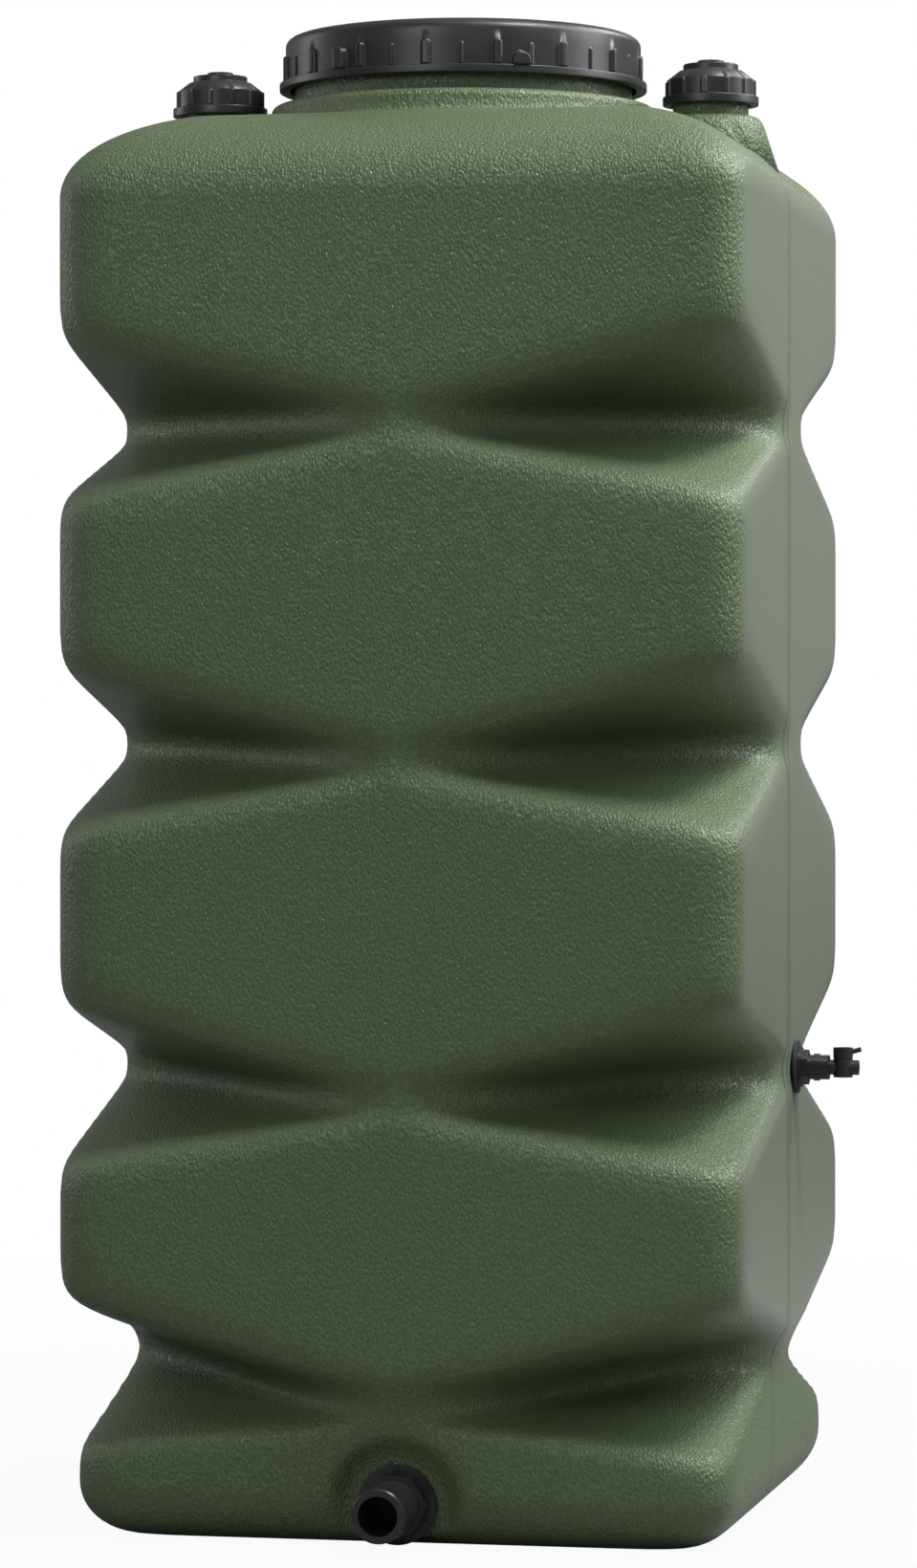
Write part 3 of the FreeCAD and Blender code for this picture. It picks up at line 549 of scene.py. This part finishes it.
def shell_stations(sizes, base_steps, shoulder_steps, fine, coarse, skin=0.0):
    """Levels and insets of the sections: a quarter round at the foot, gaps that are fine near a
    waist and coarse elsewhere, and a quarter of a superellipse over the shoulder."""
    bend = sizes.base_round - skin
    angle = np.linspace(0, math.pi / 2, base_steps)
    level = sizes.base_round - bend * np.cos(angle)
    inset = sizes.base_inset + bend * (1 - np.sin(angle))
    low = sizes.crown - sizes.shoulder_rise
    near = sizes.upper_flank * 1.5
    spots = [sizes.base_round]
    while spots[-1] < low:
        gap = min(abs(spots[-1] + fine - waist) for waist, rise in WAISTS)
        spots.append(spots[-1] + (fine if gap < near else coarse))
    wall = np.array(spots[1:-1])
    first = WAISTS[0][0]
    wall_inset = sizes.base_inset * (1 - smoothstep((wall - first + sizes.band) / sizes.band / 2))
    angle = np.linspace(0, math.pi / 2, shoulder_steps)
    high = sizes.crown - skin
    lift = low + (high - low) * np.sin(angle) ** (2 / sizes.shoulder_power)
    back = 1 - np.maximum(np.cos(angle), 0) ** (2 / sizes.shoulder_power)
    return (np.concatenate([level, wall, lift]),
            np.concatenate([inset, wall_inset, sizes.shoulder_reach * back]))


def sink_recess(sizes, rows, skin=0.0):
    """Push the front in at the drain, up to a limit that is flat in an arch on straight legs and
    falls away evenly outside it, with both edges softened.  The inner skin is pushed in as far,
    and one wall further out all round."""
    front, reach, slope = -0.2, 0.02, 0.026 / sizes.recess_flare
    flare_softness, floor_softness = 0.008, 0.004
    x, y, z = rows[..., 0], rows[..., 1], rows[..., 2]
    away = np.hypot(x, np.maximum(z - DRAIN_LEVEL, 0))
    floor = skin - (sizes.half_width - sizes.base_inset - sizes.recess_depth)
    beyond = away - sizes.recess_radius - skin
    gap = floor - soft_ramp(beyond, flare_softness) * slope - y
    near = (y < front) & (gap > -reach)
    rows[..., 1] = np.where(near, y + soft_ramp(gap, floor_softness), y)
    return rows


def raise_seam(sizes, rows):
    """A fine rib where the two halves of the mould met: a narrow bell in front-to-back place."""
    bell_width, clear_of_neck = 0.0022, 0.2
    x, y, z = rows[..., 0], rows[..., 1], rows[..., 2]
    bell = np.exp(-((y - sizes.seam_place) / bell_width) ** 2) * (z > sizes.base_round)
    rows[..., 0] = x + np.sign(x) * bell * sizes.seam_height * (np.abs(x) > clear_of_neck)
    rows[..., 2] = z + bell * sizes.seam_height * (z > sizes.crown - sizes.shoulder_rise)
    return rows


def skin_rows(sizes, steps, angles, opening, skin=0.0):
    """Sections of one skin up to the opening's radius, and the inset of each."""
    level, inset = shell_stations(sizes, *steps, skin)
    outside = inset < sizes.half_width - opening
    level, inset = level[outside], inset[outside]
    return section_rows(sizes, level, inset, angles, skin), inset


def neck_profile(sizes, plinth):
    """The manhole's plinth and neck, from the crown's outside over the rim to its inside."""
    crown, ceiling = sizes.crown, sizes.crown - sizes.wall
    plinth_top = crown + 0.02
    neck_root, neck, bore, mouth = 0.1955, 0.195, 0.187, 0.192
    return rounded_profile([
        (plinth, crown - 0.001, 0), (plinth, plinth_top, 0.011), (neck_root, plinth_top, 0.003),
        (neck, NECK_TOP, 0.0015), (bore, NECK_TOP, 0.0015), (bore, ceiling, 0.004),
        (mouth, ceiling, 0),
    ])


def shell_rows(sizes, columns):
    """One run of rows: up the outside, over the plinth and the neck, and down the inside.  The
    outer sections are drawn into circles on their way to the round plinth."""
    plinth, inner_opening = 0.222, 0.2
    square_until, drawn_over, circle = 0.12, 0.045, plinth + 0.002
    angles = shell_angles(columns)
    outer, inset = skin_rows(sizes, OUTER_STEPS, angles, plinth)
    drawn = smoothstep((inset - square_until) / drawn_over)[:, None]
    for axis, wave in ((0, np.cos(angles)), (1, np.sin(angles))):
        outer[..., axis] += (circle * wave[None, :] - outer[..., axis]) * drawn
    outer = raise_seam(sizes, sink_recess(sizes, outer))
    neck = turned_rows(neck_profile(sizes, plinth), angles)
    inner = skin_rows(sizes, INNER_STEPS, angles, inner_opening, sizes.wall)[0]
    inner = sink_recess(sizes, inner, sizes.wall)
    return np.vstack([outer, neck, inner[::-1]])


def boss_rows(across, columns):
    """A filler boss: a mound with a flat top, its short neck, and the bore down through it."""
    top, rim = 1.6, 1.6 + 0.039
    foot, mound, neck_root, neck, bore, mouth = 0.084, 0.058, 0.0435, 0.043, 0.037, 0.06
    angles = np.linspace(0, math.tau, columns, endpoint=False)
    profile = rounded_profile([
        (foot, top - 0.08, 0), (mound, top, 0.014), (neck_root, top, 0.002), (neck, rim, 0.001),
        (bore, rim, 0.001), (bore, top - 0.02, 0.004), (mouth, top - 0.07, 0),
    ], 8)
    return turned_rows(profile, angles, across)


# The screwed covers

def rib_ring(count, width, top, reach, first=0.0):
    """Ribs all round as (turn, width, top, reach), the first one a share of a gap along."""
    return [(math.tau * (k + first) / count, width, top, reach) for k in range(count)]


def rib_height(angles, height, wall, ribs):
    """How far ribs stand out of a turned wall.  On the wall unrolled to (arc length s, height h)
    a rib is a stadium, w/2 - sqrt(s^2 + max(h - (top - w/2), 0)^2), with soft edges."""
    edge = 0.0014
    raised = np.zeros((len(height), len(angles)))
    for turn, width, top, reach in ribs:
        away = (angles - turn + math.pi) % math.tau - math.pi
        above = np.maximum(height[:, None] - (top - width / 2), 0)
        inside = width / 2 - np.hypot(wall * away[None, :], above)
        raised = np.maximum(raised, reach * smoothstep(inside / edge + 0.5))
    return raised


def cover_rows(outside, inside, ribs, base, columns):
    """Rows of a screwed cover: its outer profile down to the ribbed wall, the wall itself in fine
    steps, then the flange and the underside."""
    wall_steps = 26
    wall, wall_top = outside[-1][:2]
    flange_top = inside[0][1]
    angles = np.linspace(0, math.tau, columns, endpoint=False)
    heights = np.linspace(wall_top, flange_top, wall_steps)[1:-1]
    upright = np.stack([np.full_like(heights, wall), heights], axis=1)
    above, below = rounded_profile(outside), rounded_profile(inside)
    rows = turned_rows(np.vstack([above, upright, below]), angles, 0.0, base)
    ribbed = slice(len(above), len(above) + len(upright))
    rows[ribbed, :, :2] *= (1 + rib_height(angles, heights, wall, ribs) / wall)[..., None]
    return rows


def lid_rows(columns):
    """The manhole lid: thick ribs with rounded tops, thin fins between them and two lugs."""
    hub, wall, rib_top = 0.01, 0.2055, 0.038
    crown, shoulder, shoulder_round = 0.069, 0.063, 0.025
    flange, flange_top = 0.2125, 0.009
    bore, bore_top = 0.2005, 0.035
    seat, seat_outer, seat_inner = 0.044, 0.1965, 0.1805
    dome, dome_foot, dome_top = 0.1755, 0.057, 0.063
    outside = [(hub, crown, 0), (wall, shoulder, shoulder_round), (wall, rib_top, 0)]
    inside = [(wall, flange_top, 0), (flange, flange_top, 0.0012), (flange, 0.0, 0.0012),
              (bore, 0.0, 0.001), (bore, bore_top, 0.001), (seat_outer, seat, 0.001),
              (seat_inner, seat, 0.001), (dome, dome_foot, 0.002), (hub, dome_top, 0)]
    ribs = rib_ring(16, 0.009, rib_top, 0.005) + rib_ring(16, 0.003, 0.034, 0.0025, 0.5)
    ribs += [(math.radians(-120), 0.014, 0.034, 0.009), (math.radians(-60), 0.021, 0.024, 0.009)]
    return cover_rows(outside, inside, ribs, LID_BASE, columns)


def cap_rows(across, columns):
    """A filler cap: ribbed wall, sloping shoulder and raised crown with the vent's bore."""
    vent, wall, rib_top = 0.0093, 0.05, 0.029
    crown, crown_top, slope, slope_top = 0.0315, 0.0475, 0.036, 0.04
    flange, flange_top = 0.055, 0.01
    bore, seat, seat_inner, dome, dome_foot, dome_top = 0.046, 0.028, 0.0315, 0.0275, 0.036, 0.042
    edge = 0.0005
    outside = [(vent, crown_top, 0), (crown, crown_top, 0.0015), (crown, slope_top, 0.001),
               (slope, slope_top, 0.0015), (wall, rib_top, 0)]
    inside = [(wall, flange_top, 0), (flange, flange_top, 0.0015), (flange, 0.0, 0.001),
              (bore, 0.0, edge), (bore, seat, edge), (seat_inner, seat, edge),
              (dome, dome_foot, edge), (dome, dome_top, edge), (vent, dome_top, 0)]
    ribs = rib_ring(12, 0.006, rib_top, 0.0025)
    rows = cover_rows(outside, inside, ribs, CAP_BASE, columns)
    return rows + np.array([across, 0.0, 0.0])


def join_pieces(name, pieces):
    """One object from several."""
    for piece in bpy.context.selected_objects:
        piece.select_set(False)
    for piece in pieces:
        piece.select_set(True)
    bpy.context.view_layer.objects.active = pieces[0]
    bpy.ops.object.join()
    joined = bpy.context.view_layer.objects.active
    joined.name = name
    joined.select_set(False)
    return joined


class TANK_OT_shell(bpy.types.Operator):
    """Build the moulded shell with its plinth, necks and filler bosses"""

    bl_idname = "water_tank.shell"
    bl_label = "Build shell"

    def execute(self, context):
        pieces = [tube_mesh("shell_skin", shell_rows(context.scene.tank_shell, SHELL_COLUMNS))]
        for across in (-CAP_ACROSS, CAP_ACROSS):
            pieces.append(ring_mesh("filler_boss", boss_rows(across, BOSS_COLUMNS)))
        shell = join_pieces("tank_shell", pieces)
        dress(shell, tank_material())
        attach(shell, "tank")
        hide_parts("tank_body")
        return {"FINISHED"}


class TANK_OT_covers(bpy.types.Operator):
    """Build the manhole lid and the two filler caps"""

    bl_idname = "water_tank.covers"
    bl_label = "Build covers"

    def execute(self, context):
        left, right = cap_rows(-CAP_ACROSS, CAP_COLUMNS), cap_rows(CAP_ACROSS, CAP_COLUMNS)
        covers = [(tube_mesh("lid_form", lid_rows(LID_COLUMNS)), "manhole_lid", "manhole_cover"),
                  (ring_mesh("left_cap_form", left), "left_cap", "left_cover"),
                  (ring_mesh("right_cap_form", right), "right_cap", "right_cover")]
        finish = black_material("cover_plastic", *COVER_LOOK)
        for piece, node, body in covers:
            dress(piece, finish)
            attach(piece, body)
            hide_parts(node)
        return {"FINISHED"}


class TANK_OT_nodes(bpy.types.Operator):
    """Give every part that keeps its own shape its finish"""

    bl_idname = "water_tank.nodes"
    bl_label = "Finish parts"

    def execute(self, context):
        finishes = {
            "lid_plastic": black_material("lid_plastic", *COVER_LOOK),
            "fitting_plastic": black_material("fitting_plastic", *FITTING_LOOK),
            "seal_rubber": rubber_material(),
            "screw_steel": steel_material(),
        }
        slots = {part["node"]: part["material_slot"] for part in frame["record"]["subparts"]}
        for node, piece in frame["nodes"].items():
            if node != "tank_body":
                dress(piece, finishes[slots[node]])
        return {"FINISHED"}


class TANK_OT_stage(bpy.types.Operator):
    """Set the floor, the light and the camera"""

    bl_idname = "water_tank.stage"
    bl_label = "Set the stage"

    def execute(self, context):
        scene = context.scene
        scene.view_settings.view_transform = "Standard"
        self.floor()
        self.world(scene)
        self.lamps(scene.tank_stage)
        self.camera(scene, scene.tank_stage)
        return {"FINISHED"}

    def floor(self):
        """A wide flat floor.  The camera sees it white, with a faint shadow near the tank, and
        other rays see it grey and matt."""
        edge = 30.0
        corners = np.array([[-edge, -edge, 0], [edge, -edge, 0], [edge, edge, 0], [-edge, edge, 0]])
        piece = add_mesh("floor", corners, [[0, 1, 2, 3]])
        shader = new_material("floor_white")
        x, y = shader.parts(shader.place())[:2]
        away = (x * x + y * y).math("SQRT").step(0.6, 3.5)
        matt = shader.node("ShaderNodeBsdfDiffuse", None, {"Color": (0.3, 0.3, 0.3, 1)})
        white = shader.node("ShaderNodeEmission", None, {"Color": (1, 1, 1, 1), "Strength": 1.0})
        mixed = shader.camera_mix(away * 0.05 + 0.95, matt, white)
        dress(piece, shader.close("ShaderNodeOutputMaterial", mixed))

    def world(self, scene):
        """White for the camera, and a weak even light for other rays."""
        scene.world = bpy.data.worlds.new("studio")
        shader = Shader(scene.world)
        weak, white = [shader.node("ShaderNodeBackground", None,
                                   {"Color": (1, 1, 1, 1), "Strength": strength})
                       for strength in (0.22, 1.0)]
        shader.close("ShaderNodeOutputWorld", shader.camera_mix(1.0, weak, white))

    def lamp(self, name, place, aim, size, power):
        data = bpy.data.lights.new(name, "AREA")
        data.shape = "RECTANGLE"
        data.size, data.size_y = size
        data.energy = power
        lamp = bpy.data.objects.new(name, data)
        lamp.location = place
        lamp.rotation_euler = (Vector(aim) - Vector(place)).to_track_quat("-Z", "Y").to_euler()
        bpy.context.scene.collection.objects.link(lamp)

    def lamps(self, stage):
        """A wide light overhead, a small one above and to the right that the ridges mirror, one
        behind on the right that glances off the ledges, a weak one in front and two tall ones
        at the sides."""
        self.lamp("top_light", (0.3, -0.2, 4.4), (0, 0, 0.9), (3.4, 3.0), stage.key * 0.1)
        self.lamp("ridge_light", (1.9, -0.9, 4.5), (0.35, -0.3, 1.0), (1.1, 0.9), stage.key * 1.3)
        self.lamp("back_light", (2.4, 2.2, 3.9), (0.2, 0, 1.0), (1.5, 1.4), stage.key * 0.7)
        self.lamp("front_light", (-1.2, -4.6, 2.9), (0, 0, 0.9), (1.6, 1.6), stage.key * 0.4)
        self.lamp("left_light", (-3.4, 0.8, 1.9), (0, 0, 0.9), (1.0, 2.6), stage.side * 0.5)
        self.lamp("right_light", (3.2, 0.6, 3.0), (0, 0, 1.0), (1.6, 2.4), stage.side * 2.1)

    def camera(self, scene, stage):
        """The camera at its fitted place, with the fitted focal length, dip and yaw."""
        data = bpy.data.cameras.new("camera")
        data.sensor_fit = "VERTICAL"
        data.sensor_height = 36.0
        data.lens = FOCAL_PIXELS * data.sensor_height / PHOTO_HEIGHT
        data.clip_end = 100.0
        camera = bpy.data.objects.new("camera", data)
        turn = stage.azimuth
        place = Vector((math.sin(turn), -math.cos(turn), 0)) * stage.distance
        place.z = stage.height
        camera.location = place
        camera.rotation_euler = (math.radians(90 - CAMERA_DIP), 0, turn + math.radians(CAMERA_YAW))
        scene.collection.objects.link(camera)
        scene.camera = camera


class TANK_PT_panel(bpy.types.Panel):
    """The tank's operators and sizes"""

    bl_label = "Water Tank"
    bl_idname = "TANK_PT_panel"
    bl_space_type = "VIEW_3D"
    bl_region_type = "UI"
    bl_category = "Water Tank"

    def draw(self, context):
        for operator in OPERATORS:
            self.layout.operator(operator.bl_idname)
        for name in GROUPS:
            group = getattr(context.scene, name)
            box = self.layout.box()
            for entry in group.__annotations__:
                box.prop(group, entry)


OPERATORS = (TANK_OT_shell, TANK_OT_covers, TANK_OT_nodes, TANK_OT_stage)
GROUPS = {"tank_shell": ShellSizes, "tank_finish": Finish, "tank_stage": StageSizes}


def register():
    for name, group in GROUPS.items():
        bpy.utils.register_class(group)
        setattr(bpy.types.Scene, name, bpy.props.PointerProperty(type=group))
    for operator in OPERATORS:
        bpy.utils.register_class(operator)
    bpy.utils.register_class(TANK_PT_panel)


def unregister():
    bpy.utils.unregister_class(TANK_PT_panel)
    for operator in reversed(OPERATORS):
        bpy.utils.unregister_class(operator)
    for name, group in GROUPS.items():
        delattr(bpy.types.Scene, name)
        bpy.utils.unregister_class(group)


def main():
    register()
    bpy.ops.water_tank.stage()
    bpy.ops.water_tank.shell()
    bpy.ops.water_tank.covers()
    bpy.ops.water_tank.nodes()


if __name__ == "__main__":
    main()
